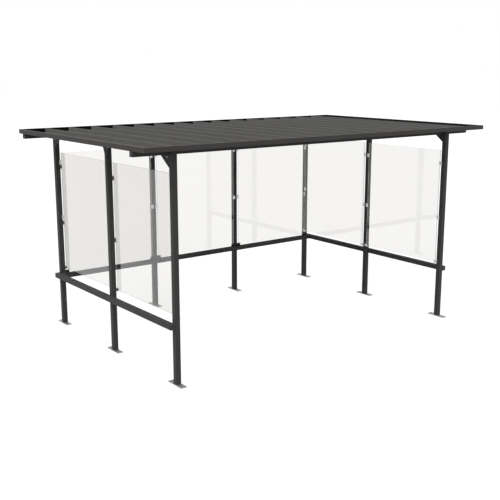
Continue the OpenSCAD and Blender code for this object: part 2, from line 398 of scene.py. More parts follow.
# %% Plated metal for clamps and screws
def plated_metal(name, colour, pale, roughness):
    """A satin plated metal with a fine tumbled texture."""
    material, tree, place = new_material(name)
    tumble = add(tree, "ShaderNodeTexNoise", {"Vector": place, "Scale": per_mm(3), "Detail": 4.0})
    tone = add(tree, "ShaderNodeMix", {
        "Factor": tumble.outputs["Fac"], 6: linear(colour), 7: linear(pale)}, data_type="RGBA")
    gloss = add(tree, "ShaderNodeMapRange", {
        "Value": tumble.outputs["Fac"], "To Min": roughness - 0.06, "To Max": roughness + 0.08})
    bump = add(tree, "ShaderNodeBump", {
        "Height": tumble.outputs["Fac"], "Strength": 0.15, "Distance": 0.05 * MM})
    shader = add(tree, "ShaderNodeBsdfPrincipled", {
        "Base Color": tone.outputs[2], "Metallic": 1.0, "Roughness": gloss.outputs[0],
        "Normal": bump.outputs[0]})
    add(tree, "ShaderNodeOutputMaterial", {"Surface": shader.outputs[0]})
    return material


nickel = plated_metal("satin_nickel_plate", "#D9DADB", "#E6E7E8", roughness=0.38)
bolt_zinc = plated_metal("zinc_plated_bolt", "#8E9092", "#A2A4A6", roughness=0.4)
print("made", nickel.name, "and", bolt_zinc.name)

# %% [markdown]
# ## Black plastic and rubber
#
# The caps that close the tube ends are injection-moulded polyethylene with an eroded, faintly grainy
# surface. The pads that hold the glass are extruded EPDM rubber, duller and a touch greyer. The foam
# under the roof trim is made near-black and almost unreflecting as painted shade: it stands in for the
# shade under the trim's lip. They share one recipe with other colours, grain sizes and gloss.

# %% Moulded and extruded blacks
def moulded_black(name, colour, pale, grain_size, roughness, specular=0.4):
    """A black plastic or rubber with a fine eroded grain and a light bloom."""
    material, tree, place = new_material(name)
    bloom = add(tree, "ShaderNodeTexNoise", {"Vector": place, "Scale": per_mm(18), "Detail": 3.0})
    grain = add(tree, "ShaderNodeTexNoise", {"Vector": place, "Scale": per_mm(grain_size), "Detail": 2.0})
    tone = add(tree, "ShaderNodeMix", {
        "Factor": bloom.outputs["Fac"], 6: linear(colour), 7: linear(pale)}, data_type="RGBA")
    matt = add(tree, "ShaderNodeMapRange", {
        "Value": bloom.outputs["Fac"], "To Min": roughness - 0.04, "To Max": roughness + 0.06})
    bump = add(tree, "ShaderNodeBump", {
        "Height": grain.outputs["Fac"], "Strength": 0.3, "Distance": 0.08 * MM})
    shader = add(tree, "ShaderNodeBsdfPrincipled", {
        "Base Color": tone.outputs[2], "Roughness": matt.outputs[0], "Normal": bump.outputs[0],
        "Specular IOR Level": specular})
    add(tree, "ShaderNodeOutputMaterial", {"Surface": shader.outputs[0]})
    return material


cap_plastic = moulded_black("moulded_polyethylene", "#1B1B1B", "#242424", grain_size=1.0, roughness=0.5)
rubber = moulded_black("extruded_epdm_rubber", "#161616", "#202020", grain_size=0.7, roughness=0.7)
satin_black = moulded_black("black_coated_clamp", "#1C1C1C", "#2A2A2A", grain_size=1.5, roughness=0.45)
# Near-black with almost no reflection, the foam is painted shade: it stands for the shade under the
# trim's lip.
shade_foam = moulded_black("foam_painted_shade", "#0F0F0F", "#171717", grain_size=2.0, roughness=0.9,
                     specular=0.02)
print("made", cap_plastic.name, rubber.name, satin_black.name, shade_foam.name)

# %% [markdown]
# ## Toughened glass
#
# The panels are 6 mm float glass, cut and polished at the edges and then toughened. Clear glass has a
# trace of iron, which gives a faint grey-green where much of it lies behind the surface. A solid
# sheet with a transmitting Principled shader bends and mirrors light as the real one does. Lamps
# would throw a black shadow through it, so shadow rays meet a plain transparent shader instead, and
# the light goes through as it does in a real shelter.

# %% Glass for the wall panels
FLOAT_GLASS_IOR = 1.52


def toughened_glass():
    """Clear toughened glass that lets lamps shine through."""
    material, tree, place = new_material("clear_toughened_glass")
    waves = add(tree, "ShaderNodeTexNoise", {"Vector": place, "Scale": per_mm(320), "Detail": 1.0})
    roller_wave = add(tree, "ShaderNodeBump", {
        "Height": waves.outputs["Fac"], "Strength": 0.05, "Distance": 0.2 * MM})
    film = add(tree, "ShaderNodeTexNoise", {"Vector": place, "Scale": per_mm(90), "Detail": 3.0})
    smear = add(tree, "ShaderNodeMapRange", {"Value": film.outputs["Fac"], "To Min": 0.0, "To Max": 0.03})
    tint = add(tree, "ShaderNodeMix", {
        "Factor": film.outputs["Fac"], 6: linear("#E9E8E6"), 7: linear("#EBEAE9")}, data_type="RGBA")
    body = add(tree, "ShaderNodeBsdfPrincipled", {
        "Base Color": tint.outputs[2], "Roughness": smear.outputs[0], "IOR": FLOAT_GLASS_IOR,
        "Transmission Weight": 1.0, "Normal": roller_wave.outputs[0]})
    clear = add(tree, "ShaderNodeBsdfTransparent", {"Color": linear("#F0F2F1")})
    ray = add(tree, "ShaderNodeLightPath")
    mixed = add(tree, "ShaderNodeMixShader", {
        0: ray.outputs["Is Shadow Ray"], 1: body.outputs[0], 2: clear.outputs[0]})
    add(tree, "ShaderNodeOutputMaterial", {"Surface": mixed.outputs[0]})
    return material


glass = toughened_glass()
print("made", glass.name)

# %% [markdown]
# # The steel frame
#
# ## Square hollow section
#
# Square tube is rolled from strip and welded along its length. Its corners are drawn tight, to a
# radius of about 2 mm outside and half of that inside. A bevelled cube would have solid ends, so
# the tree draws the real section instead. Two rounded squares, one in the other, are filled as a
# ring, and the ring is drawn out to the length of the tube. One tree makes every post, rail, beam
# and rafter.

# %% A tree for hollow sections
CORNER_STEPS = 5
tree, knob = new_tree("square_hollow_section", Width=float, Wall=float, Radius=float, Length=float,
                      Material="material")
outside = add(tree, "GeometryNodeCurvePrimitiveQuadrilateral", {
    "Width": knob["Width"], "Height": knob["Width"]})
outside_round = add(tree, "GeometryNodeFilletCurve", {
    "Curve": outside.outputs[0], "Count": CORNER_STEPS, "Radius": knob["Radius"]}, mode="POLY")
bore = add(tree, "ShaderNodeMath", {
    0: knob["Wall"], 1: -2.0, 2: knob["Width"]}, operation="MULTIPLY_ADD")
bore_radius = add(tree, "ShaderNodeMath", {0: knob["Radius"], 1: 0.5}, operation="MULTIPLY")
inside = add(tree, "GeometryNodeCurvePrimitiveQuadrilateral", {
    "Width": bore.outputs[0], "Height": bore.outputs[0]})
inside_round = add(tree, "GeometryNodeFilletCurve", {
    "Curve": inside.outputs[0], "Count": CORNER_STEPS, "Radius": bore_radius.outputs[0]}, mode="POLY")
both = add(tree, "GeometryNodeJoinGeometry", {0: outside_round.outputs[0]})
tree.links.new(inside_round.outputs[0], both.inputs[0])
ring = add(tree, "GeometryNodeFillCurve", {"Curve": both.outputs[0]}, mode="TRIANGLES")
along = add(tree, "ShaderNodeCombineXYZ", {"Z": knob["Length"]})
drawn = add(tree, "GeometryNodeExtrudeMesh", {
    "Mesh": ring.outputs[0], "Offset": along.outputs[0], "Offset Scale": 1.0, "Individual": False},
    mode="FACES")
foot = add(tree, "GeometryNodeFlipFaces", {"Mesh": ring.outputs[0]})
closed = add(tree, "GeometryNodeJoinGeometry", {0: drawn.outputs[0]})
tree.links.new(foot.outputs[0], closed.inputs[0])
whole = add(tree, "GeometryNodeMergeByDistance", {
    "Geometry": closed.outputs[0], "Distance": MERGE})
hollow_section = end_tree(tree, whole.outputs[0], knob["Material"])
print("nodes in", hollow_section.name + ":", len(hollow_section.nodes))

# %% [markdown]
# A CAD tube lies along X, Y or Z. The grown section stands along Z from the origin, so its mesh is
# turned onto the tube's own axis and moved into the tube's box. The object itself stays at the
# origin.

# %% Draw a section through each CAD tube
TUBE_WALL = 3
TUBE_RADIUS = 2
ALONG_X = Matrix.Rotation(math.radians(90), 4, "Y")
ALONG_Y = Matrix.Rotation(math.radians(-90), 4, "X")
ALONG = (ALONG_X, ALONG_Y, Matrix())


def steel_tube(node):
    """A hollow section that stands for a CAD tube."""
    low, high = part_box(node)
    size = high - low
    axis = max(range(3), key=lambda i: size[i])
    start = (low + high) / 2
    start[axis] = low[axis]
    piece = grow(node + "_section", hollow_section, Width=min(size), Wall=TUBE_WALL * MM,
                 Radius=TUBE_RADIUS * MM, Length=size[axis], Material=frame_coat)
    piece.data.transform(Matrix.Translation(start) @ ALONG[axis])
    return hand_in(finish_edges(piece), "frame_steel", node)


tubes = [name for name in frame["nodes"] if name.split("_")[0] in ("post", "rail", "beam", "rafter")]
sections = [steel_tube(name) for name in sorted(tubes)]
print(len(sections), "tubes,", sum(len(piece.data.polygons) for piece in sections), "faces")

# %% [markdown]
# ## Base plates, gussets and end caps
#
# These are cut from flat plate or moulded as single pieces, and the CAD solids already have their
# exact outlines and holes. Only their edges are too sharp. A copy of each, merged and bevelled, keeps
# the shape and gains the edge: 1 mm on the dipped plates, 0.8 mm on the gussets, and a fuller round
# on the moulded caps.

# %% Soften the plates and caps
DIPPED_EDGE = 1.0
GUSSET_EDGE = 0.8
MOULDED_EDGE = 1.2
base_plates = [name for name in frame["nodes"] if name.startswith("base_plate")]
for name in sorted(base_plates):
    hand_in(softened(name, zinc, DIPPED_EDGE), "zinc", name)
for name in ("gussets_left", "gussets_right"):
    hand_in(softened(name, frame_coat, GUSSET_EDGE), "frame_steel", name)
hand_in(softened("tube_end_caps", cap_plastic, MOULDED_EDGE, steps=3), "cap_plastic", "tube_end_caps")
print("softened", len(base_plates), "base plates, the gussets and the end caps")

# %% [markdown]
# ## Small turned parts
#
# Washers, rivets, hex heads and screw heads are all stacks of rings: a few radii at a few heights.
# Round ones have many sides and hexagons have six. `turned` skins such a stack and closes both ends,
# which costs only a few dozen faces, so hundreds of copies stay light.

# %% Skin a stack of rings
def turned(name, rings, sides):
    """A closed solid through rings of (radius, height) in mm, from the lowest ring up."""
    work = bmesh.new()
    turn = [2 * math.pi * i / sides for i in range(sides)]
    hoops = []
    for radius, height in rings:
        hoops.append([work.verts.new((radius * MM * math.cos(a), radius * MM * math.sin(a), height * MM))
                      for a in turn])
    for lower, upper in zip(hoops, hoops[1:]):
        for i in range(sides):
            j = (i + 1) % sides
            work.faces.new((lower[i], lower[j], upper[j], upper[i]))
    work.faces.new(reversed(hoops[0]))
    work.faces.new(hoops[-1])
    mesh = bpy.data.meshes.new(name)
    work.to_mesh(mesh)
    work.free()
    return mesh


def joined(name, *meshes):
    """Several meshes as one object, to be copied by the placing tree. It is never shown itself."""
    work = bmesh.new()
    for mesh in meshes:
        work.from_mesh(mesh)
    mesh = bpy.data.meshes.new(name)
    work.to_mesh(mesh)
    work.free()
    for polygon in mesh.polygons:
        polygon.use_smooth = True
    mesh.set_sharp_from_angle(angle=SHARP)
    return bpy.data.objects.new(name, mesh)


print("20 sides of 8 mm radius stray from a circle by", round(8 * (1 - math.cos(math.pi / 20)), 2), "mm")

# %% [markdown]
# The bolt is an M8: a hexagon 13 mm across its flats, with its corners turned off on top, over a
# washer 16 mm wide. A ring's radius reaches to its corners, so the hexagon's is a little more than
# half the distance across its flats.

# %% Model the bolt head
TO_CORNER = 2 / math.sqrt(3)
WASHER_T = 1.6
BOLT_HALF = 6.5
washer = turned("washer", [(7.6, 0), (8, 0.3), (8, 1.3), (7.6, WASHER_T)], sides=20)
hexagon = turned("hexagon", [(BOLT_HALF * TO_CORNER, WASHER_T), (BOLT_HALF * TO_CORNER, 6.2),
                             (6.1 * TO_CORNER, 6.9)], sides=6)
bolt_head = joined("bolt_head", washer, hexagon)
print("bolt head:", len(bolt_head.data.polygons), "faces")

# %% [markdown]
# ## Placing many copies
#
# A fastening appears again and again, always pointing out of its surface. The places are the vertices
# of a small mesh, each with a `turn` attribute that says how the copy is rotated. The tree puts an
# instance on every vertex and gives it a small random spin about its own axis, because no fitter
# leaves all hexagons lined up. The seed is fixed and the places always come in the same order, so
# each copy spins the same way every time.

# %% A tree that places copies on points
SEED = 7
tree, knob = new_tree("placed_copies", Part="object", Spin=float, Material="material")
part = add(tree, "GeometryNodeObjectInfo", {"Object": knob["Part"]})
turn = add(tree, "GeometryNodeInputNamedAttribute", {"Name": "turn"}, data_type="FLOAT_VECTOR")
facing = add(tree, "FunctionNodeEulerToRotation", {0: turn.outputs[0]})
chance = add(tree, "FunctionNodeRandomValue", {"Seed": SEED}, data_type="FLOAT")
angle = add(tree, "ShaderNodeMath", {0: chance.outputs[1], 1: knob["Spin"]}, operation="MULTIPLY")
about = add(tree, "ShaderNodeCombineXYZ", {"Z": angle.outputs[0]})
own_turn = add(tree, "FunctionNodeEulerToRotation", {0: about.outputs[0]})
spun = add(tree, "FunctionNodeRotateRotation", {0: facing.outputs[0], 1: own_turn.outputs[0]},
           rotation_space="LOCAL")
copies = add(tree, "GeometryNodeInstanceOnPoints", {
    "Points": knob["Geometry"], "Instance": part.outputs["Geometry"], "Rotation": spun.outputs[0]})
placed_copies = end_tree(tree, copies.outputs[0], knob["Material"])


def place(name, part, places, material, spin=0.0):
    """Copies of a part at (point, Euler angles) places, as one mesh."""
    start = bpy.data.meshes.new(name + "_places")
    start.from_pydata([point for point, turn in places], [], [])
    turns = start.attributes.new("turn", "FLOAT_VECTOR", "POINT")
    turns.data.foreach_set("vector", [value for point, turn in places for value in turn])
    return grow(name, placed_copies, start, Part=part, Spin=spin, Material=material)


print("nodes in", placed_copies.name + ":", len(placed_copies.nodes))

# %% [markdown]
# ## Bolts in the gussets
#
# Each gusset stiffens the corner between a post and the roof frame, and a bolt close under the beam
# pulls the corner tight. Only the head shows, on the outside of the gusset, a little paler than the
# coated steel around it.

# %% Bolt the gussets
BOLT_FROM_POST = 19 * MM
BOLT_UNDER_BEAM = 20 * MM
FACE_OUT = {-1: (0, math.radians(-90), 0), 1: (0, math.radians(90), 0)}
posts = {name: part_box(name) for name in frame["nodes"] if name.startswith("post")}


def nearest_post(point):
    """The lowest and highest corners of the post whose middle is closest to a point."""
    return min(posts.values(), key=lambda box: ((box[0] + box[1]).xy / 2 - point.xy).length)


bolts = []
for side, node in ((-1, "gussets_left"), (1, "gussets_right")):
    for low, high in solids(node):
        middle = (low + high) / 2
        post_low, post_high = nearest_post(middle)
        behind = middle.y > (post_low.y + post_high.y) / 2
        y = low.y + BOLT_FROM_POST if behind else high.y - BOLT_FROM_POST
        x = low.x if side < 0 else high.x
        bolts.append(((x, y, high.z - BOLT_UNDER_BEAM), FACE_OUT[side]))
gusset_bolts = place("gusset_bolts", bolt_head, bolts, bolt_zinc, spin=1.0)
hand_in(gusset_bolts, "clamp_metal")
print(len(bolts), "gusset bolts")

# %% [markdown]
# # The roof
#
# ## Ribbed sheet
#
# The roof is steel sheet, 0.8 mm thick, rolled into wide flat pans between narrow ribs. The bends are
# not sharp: the rolls leave a radius of a few millimetres, and that radius draws a soft highlight
# down each rib. Boxes for the ribs would give hard edges and no underside. Here one rib and half a
# pan on each side are drawn as a curve, its corners are filleted, and copies stand side by side along
# a line. The merged outline is pulled along Y into a sheet, and the sheet is given its thickness.

# %% Helpers for a drawn outline and a row
def outline(tree, name, points):
    """A mesh line through (x, z) points whose values come from the tree's inputs."""
    corners = [add(tree, "ShaderNodeCombineXYZ", {"X": x, "Z": z}).outputs[0] for x, z in points]
    lines = add(tree, "GeometryNodeJoinGeometry", label=name)
    for start, end in zip(corners, corners[1:]):
        line = add(tree, "GeometryNodeCurvePrimitiveLine", {"Start": start, "End": end})
        mesh = add(tree, "GeometryNodeCurveToMesh", {"Curve": line.outputs[0]})
        tree.links.new(mesh.outputs[0], lines.inputs[0])
    joint = add(tree, "GeometryNodeMergeByDistance", {"Geometry": lines.outputs[0], "Distance": MERGE})
    return joint.outputs[0]


def centred_row(tree, count, pitch):
    """Points side by side along X, a pitch apart, with the middle of the row at the origin."""
    gaps = add(tree, "ShaderNodeMath", {0: count, 1: 1.0}, operation="SUBTRACT")
    length = add(tree, "ShaderNodeMath", {0: gaps.outputs[0], 1: pitch}, operation="MULTIPLY")
    left_end = add(tree, "ShaderNodeMath", {0: length.outputs[0], 1: -0.5}, operation="MULTIPLY")
    first = add(tree, "ShaderNodeCombineXYZ", {"X": left_end.outputs[0]})
    step = add(tree, "ShaderNodeCombineXYZ", {"X": pitch})
    row = add(tree, "GeometryNodeMeshLine", {
        "Count": count, "Start Location": first.outputs[0], "Offset": step.outputs[0]}, mode="OFFSET")
    return row.outputs[0]


print("joints closer than", round(MERGE / MM, 3), "mm become one")

# %% [markdown]
# `right` holds how far each corner of the outline lies from the middle of its rib, and the ends of
# the flat strips from the middle of the roof. `left` holds the same distances on the other side.

# %% A tree for ribbed sheet: the outline
tree, knob = new_tree("ribbed_sheet", Pitch=float, Height=float, Top=float, Foot=float, Ribs=int,
                      Edge=float, Bend=float, Length=float, Material="material")
right = {name: add(tree, "ShaderNodeMath", {0: knob[name], 1: 0.5}, operation="MULTIPLY").outputs[0]
         for name in ("Pitch", "Top", "Foot")}
all_pans = add(tree, "ShaderNodeMath", {0: knob["Ribs"], 1: right["Pitch"]}, operation="MULTIPLY")
right["Pans"] = all_pans.outputs[0]
right["Edge"] = knob["Edge"]
left = {name: add(tree, "ShaderNodeMath", {0: x, 1: -1.0}, operation="MULTIPLY").outputs[0]
        for name, x in right.items()}
rib = outline(tree, "one rib", [
    (left["Pitch"], 0.0), (left["Foot"], 0.0), (left["Top"], knob["Height"]),
    (right["Top"], knob["Height"]), (right["Foot"], 0.0), (right["Pitch"], 0.0)])
left_strip = outline(tree, "left strip", [(left["Edge"], 0.0), (left["Pans"], 0.0)])
right_strip = outline(tree, "right strip", [(right["Pans"], 0.0), (right["Edge"], 0.0)])
print("nodes for the outline:", len(tree.nodes))

# %% A tree for ribbed sheet: the sheet
BEND_STEPS = 3
ribs = add(tree, "GeometryNodeInstanceOnPoints", {
    "Points": centred_row(tree, knob["Ribs"], knob["Pitch"]), "Instance": rib})
real_ribs = add(tree, "GeometryNodeRealizeInstances", {0: ribs.outputs[0]})
whole_line = add(tree, "GeometryNodeJoinGeometry", {0: real_ribs.outputs[0]})
tree.links.new(left_strip, whole_line.inputs[0])
tree.links.new(right_strip, whole_line.inputs[0])
welded = add(tree, "GeometryNodeMergeByDistance", {
    "Geometry": whole_line.outputs[0], "Distance": MERGE})
wire = add(tree, "GeometryNodeMeshToCurve", {"Mesh": welded.outputs[0]})
bent = add(tree, "GeometryNodeFilletCurve", {
    "Curve": wire.outputs[0], "Count": BEND_STEPS, "Radius": knob["Bend"], "Limit Radius": True},
    mode="POLY")
edge = add(tree, "GeometryNodeCurveToMesh", {"Curve": bent.outputs[0]})
pull = add(tree, "ShaderNodeCombineXYZ", {"Y": knob["Length"]})
skin = add(tree, "GeometryNodeExtrudeMesh", {
    "Mesh": edge.outputs[0], "Offset": pull.outputs[0], "Offset Scale": 1.0}, mode="EDGES")
ribbed_sheet = end_tree(tree, skin.outputs["Mesh"], knob["Material"])
print("nodes in", ribbed_sheet.name + ":", len(ribbed_sheet.nodes))

# %% [markdown]
# The sheet's width, length and height come from the CAD box, and only the rib's own section is named
# here. A Solidify modifier gives the skin its thickness afterwards, downwards from the top face.

# %% Roll the roof sheet
RIB_PITCH = 262
RIB_TOP = 20
RIB_FOOT = 32
SHEET = 0.8
BEND = 4
roof_low, roof_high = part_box("roof_sheet")
rib_height = roof_high.z - roof_low.z - SHEET * MM
rib_count = 2 * int((roof_high.x - RIB_FOOT * MM) / (RIB_PITCH * MM)) + 1
roof = grow("ribbed_roof", ribbed_sheet, Pitch=RIB_PITCH * MM, Height=rib_height, Top=RIB_TOP * MM,
            Foot=RIB_FOOT * MM, Ribs=rib_count, Edge=roof_high.x, Bend=BEND * MM,
            Length=roof_high.y - roof_low.y, Material=roof_coat)
roof.data.transform(Matrix.Translation((0, roof_low.y, roof_low.z + SHEET * MM)))
upward = sum(polygon.normal.z * polygon.area for polygon in roof.data.polygons)
if upward < 0:
    roof.data.flip_normals()
thickness = roof.modifiers.new("Sheet thickness", "SOLIDIFY")
thickness.thickness = SHEET * MM
thickness.offset = -1
finish_edges(roof)
hand_in(roof, "roof_steel", "roof_sheet")
print(rib_count, "ribs,", len(roof.data.polygons), "faces in the skin")

# %% [markdown]
# ## Edge trim
#
# A folded angle closes the sheet's edge all round: an upright face as deep as the ribs and a narrow
# lip over their crowns. The CAD pieces have the folds already. Their fold lines get the bend radius
# of thin painted steel.

# %% Fold the edge trim
FOLD = 0.45
for name in sorted(frame["nodes"]):
    if name.startswith("fascia"):
        hand_in(softened(name, trim_coat, FOLD), "trim_steel", name)

# %% [markdown]
# ## Foam fillers, black as painted shade
#
# Between the ribs, the lip of the trim would leave a row of open mouths for wind and wasps. Each mouth
# is stopped with a block of foam, cut to the pan between two ribs. Its near-black is painted shade: it
# stands for the shade under the lip. The tree draws the block's end as a trapezoid, rounds its corners
# to sit in the bends of the sheet, pulls it to its thickness and sets copies side by side. The blocks at
# both ends of a row are wider and have one upright side: the same trapezoid with its top edge pushed
# sideways by `Lean`.

# %% A tree for foam fillers
tree, knob = new_tree("shade_foam_fillers", Bottom=float, Top=float, Lean=float, Height=float, Bend=float,
                      Thickness=float, Count=int, Pitch=float, Material="material")
shape = add(tree, "GeometryNodeCurvePrimitiveQuadrilateral", {
    "Bottom Width": knob["Bottom"], "Top Width": knob["Top"], "Offset": knob["Lean"],
    "Height": knob["Height"]}, mode="TRAPEZOID")
rounded = add(tree, "GeometryNodeFilletCurve", {
    "Curve": shape.outputs[0], "Count": BEND_STEPS, "Radius": knob["Bend"]}, mode="POLY")
near_end = add(tree, "GeometryNodeFillCurve", {"Curve": rounded.outputs[0]}, mode="TRIANGLES")
pull = add(tree, "ShaderNodeCombineXYZ", {"Z": knob["Thickness"]})
block = add(tree, "GeometryNodeExtrudeMesh", {
    "Mesh": near_end.outputs[0], "Offset": pull.outputs[0], "Offset Scale": 1.0, "Individual": False},
    mode="FACES")
far_end = add(tree, "GeometryNodeFlipFaces", {"Mesh": near_end.outputs[0]})
closed = add(tree, "GeometryNodeJoinGeometry", {0: block.outputs[0]})
tree.links.new(far_end.outputs[0], closed.inputs[0])
whole = add(tree, "GeometryNodeMergeByDistance", {
    "Geometry": closed.outputs[0], "Distance": MERGE})
standing = add(tree, "GeometryNodeTransform", {
    "Geometry": whole.outputs[0], "Rotation": (math.radians(90), 0, 0)})
blocks = add(tree, "GeometryNodeInstanceOnPoints", {
    "Points": centred_row(tree, knob["Count"], knob["Pitch"]), "Instance": standing.outputs[0]})
shade_foam_fillers = end_tree(tree, blocks.outputs[0], knob["Material"])
print("nodes in", shade_foam_fillers.name + ":", len(shade_foam_fillers.nodes))

# %% [markdown]
# Foam is cut a little small so that it slides in. It fills the space under the lip, from the trim's
# upright face to the lip's edge.

# %% Stop the pans with foam
TRIM = 1.5
LIP = 26
SNUG = 0.3
trim_low, trim_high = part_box("fascia_front")[0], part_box("fascia_rear")[1]
last_rib = rib_count // 2 * RIB_PITCH * MM
side_face = trim_high.x - TRIM * MM
pan_top = roof_low.z + SHEET * MM
mouth = trim_high.z - TRIM * MM - pan_top
foam_depth = (LIP - TRIM - 2 * SNUG) * MM


# Each row is painted shade: near-black blocks that stand for the shade under the trim's lip.
def shade_filler_row(name, bottom, top, lean, count, x, y):
    """A row of foam blocks, this wide below and above, centred on x with their rear faces at y."""
    row = grow(name, shade_foam_fillers, Bottom=bottom - 2 * SNUG * MM, Top=top - 2 * SNUG * MM,
               Lean=lean, Height=mouth - 2 * SNUG * MM, Bend=BEND * MM, Thickness=foam_depth,
               Count=count, Pitch=RIB_PITCH * MM, Material=shade_foam)
    row.data.transform(Matrix.Translation((x, y, pan_top + mouth / 2)))
    return hand_in(finish_edges(row), "cap_plastic")


pan_bottom = (RIB_PITCH - RIB_FOOT) * MM
pan_mouth = (RIB_PITCH - RIB_TOP) * MM
end_bottom = side_face - last_rib - RIB_FOOT * MM / 2
end_mouth = side_face - last_rib - RIB_TOP * MM / 2
for name, y in (("front", trim_low.y + (LIP - SNUG) * MM), ("rear", trim_high.y - (TRIM + SNUG) * MM)):
    shade_filler_row("foam_" + name, pan_bottom, pan_mouth, lean=0.0, count=rib_count - 1, x=0.0, y=y)
    for side in (-1, 1):
        shade_filler_row(f"foam_{name}_{side}", end_bottom, end_mouth, lean=side * (end_bottom - end_mouth) / 2,
                   count=1, x=side * (side_face - end_bottom / 2), y=y)
print("foam blocks:", 2 * (rib_count + 1), "each", round(foam_depth / MM, 1), "mm thick")

# %% [markdown]
# ## Roof screws and trim rivets
#
# Self-drilling screws with a bonded rubber washer pull the sheet down onto each beam, one in every
# pan. Their heads are 8 mm across flats on a flange. Blind rivets hold the lip of the trim to the crown
# of each rib. Both are turned parts, copied by the placing tree; a screw and its rubber washer are two
# pieces, because each piece has one finish.

# %% Model the screw, its washer and the rivet
SEAL_T = 1.8
FLANGE_TOP = 2.9
SCREW_HALF = 4
seal_washer = joined("seal_washer", turned("seal", [(7.4, 0), (8, 0.5), (7.6, SEAL_T)], sides=18))
flange = turned("flange", [(6.8, SEAL_T), (7, 2.2), (6.4, FLANGE_TOP)], sides=18)
screw_hexagon = turned("hexagon", [(SCREW_HALF * TO_CORNER, FLANGE_TOP), (SCREW_HALF * TO_CORNER, 6.2),
                                   (3.7 * TO_CORNER, 6.8)], sides=6)
screw_head = joined("roof_screw_head", flange, screw_hexagon)
dome = turned("dome", [(4, 0), (3.9, 0.5), (3.2, 1.1), (1.8, 1.4)], sides=14)
rivet_head = joined("rivet_head", dome)
print("screw head:", len(screw_head.data.polygons), "faces; rivet:", len(rivet_head.data.polygons))

# %% Place the roof screws and rivets
UP = (0, 0, 0)
rib_places = [(i - rib_count // 2) * RIB_PITCH * MM for i in range(rib_count)]
pan_places = [rib_places[0] - RIB_PITCH * MM / 2] + [x + RIB_PITCH * MM / 2 for x in rib_places]
beam_lines = [(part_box(name)[0].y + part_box(name)[1].y) / 2 for name in ("beam_front", "beam_rear")]
screws = [((x, y, pan_top), UP) for y in beam_lines for x in pan_places]
hand_in(place("roof_seal_washers", seal_washer, screws, rubber), "cap_plastic")
hand_in(place("roof_screws", screw_head, screws, trim_coat, spin=1.0), "trim_steel")

lip_middle = LIP * MM / 2
rivets = [((x, y, trim_high.z), UP) for x in rib_places
          for y in (trim_low.y + lip_middle, trim_high.y - lip_middle)]
hand_in(place("trim_rivets", rivet_head, rivets, trim_coat), "trim_steel")
print(len(screws), "roof screws and", len(rivets), "rivets")

# %% [markdown]
# # The glass walls
#
# ## Panels
#
# Toughened glass is arrissed before it goes into the furnace: every edge is ground to a 45 degree
# chamfer of about a millimetre and polished. The chamfer is what makes a glass edge sparkle. It is
# one flat cut, so the bevel has a single step.

# %% Cut and arris the glass
ARRIS = 0.8
for name in sorted(frame["nodes"]):
    if name.startswith("glass"):
        hand_in(softened(name, glass, ARRIS, steps=1), "glass", name)
        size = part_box(name)[1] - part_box(name)[0]
        print(name, [round(value / MM) for value in size], "mm")

# %% [markdown]
# ## Clamps
#
# Each panel hangs in small clamps. A clamp is a cast body screwed to the post, a jaw over the edge of
# the glass, and rubber pads between metal and glass. The CAD model holds it as a plain slotted block;
# here the block's box becomes the space for the real parts. They are modelled lying on the post's
# face: X runs from the post over the glass, Y points away from the post, and Z is up.
#
# A casting is rounded all over, because molten metal doesn't fill a sharp corner. `rounded_block`
# bevels every edge of a block, and can narrow its outer face a little, as the draft of a mould does.

# %% Cast the body of a clamp
CLAMP_LONG = 44
CLAMP_D = 13
JAW_T = 4
SLOT_X = 23
BODY_ROUND = 1.6


def rounded_block(low, high, width, steps=3, taper=0.0):
    """A block between two corners in mm, with rounded edges; taper narrows its +Y face."""
    work = bmesh.new()
    size = [b - a for a, b in zip(low, high)]
    middle = [(a + b) / 2 for a, b in zip(low, high)]
    bmesh.ops.create_cube(work, size=1)
    for corner in work.verts:
        inset = taper if corner.co.y > 0 else 0
        for i in range(3):
            half = size[i] / 2 - (inset if i != 1 else 0)
            corner.co[i] = (middle[i] + math.copysign(half, corner.co[i])) * MM
    bmesh.ops.bevel(work, geom=work.edges[:], offset=width * MM, segments=steps, profile=0.5,
                    affect="EDGES")
    bmesh.ops.recalc_face_normals(work, faces=work.faces)
    mesh = bpy.data.meshes.new("block")
    work.to_mesh(mesh)
    work.free()
    return mesh


half_long = CLAMP_LONG / 2
upright_body = rounded_block((0, 0, -half_long), (SLOT_X, CLAMP_D - JAW_T, half_long), BODY_ROUND)
print("clamp body:", len(upright_body.polygons), "faces")

# %% [markdown]
# All clamps share the form of their jaw, screw and rubber pads. The glass lies in the gap between the
# pads. The rubber keeps a hair's breadth off the slot's end and the post, and stops a little inside
# the jaw's edge.

# %% Model the jaw, the screw and the pads
JAW_ROUND = 1.8
JAW_DRAFT = 1.0
PAD_T = 2
PAD_GAP = 0.3
PAD_LIFT = 0.2
BACK_SHORT = 0.5
FRONT_SHORT = 0.8
FRONT_ROUND = 0.3
GLASS_T = 6
SCREW_SUNK = 1.2


def jaw(length, half):
    """The jaw over the glass: this long along X, and this far up and down from the middle."""
    return rounded_block((0, CLAMP_D - JAW_T, -half), (length, CLAMP_D, half), JAW_ROUND, 4, JAW_DRAFT)


def socket_head(x):
    """The countersunk socket screw that closes the jaw, x mm from the clamp's end."""
    rings = [(4.6, 0), (5, 0.4), (5, 0.7), (4.4, SCREW_SUNK), (2.6, SCREW_SUNK), (2.4, 0.5)]
    head = turned("socket_head", rings, sides=18)
    head.transform(Matrix.Translation((x * MM, (CLAMP_D - SCREW_SUNK) * MM, 0)) @ ALONG_Y)
    return head


def pads(name, slot_x, end_x, bottom, top, back_round):
    """The rubber behind and in front of the glass, from the slot's end to near the jaw's edge."""
    start = slot_x + PAD_GAP
    back = rounded_block((start, PAD_LIFT, bottom), (end_x - BACK_SHORT, PAD_T, top), back_round, 2)
    front = rounded_block((start, PAD_T + GLASS_T, bottom),
                          (end_x - FRONT_SHORT, CLAMP_D - JAW_T, top), FRONT_ROUND, 2)
    return joined(name, back, front)


print("room for the glass between the pads:", GLASS_T, "mm")

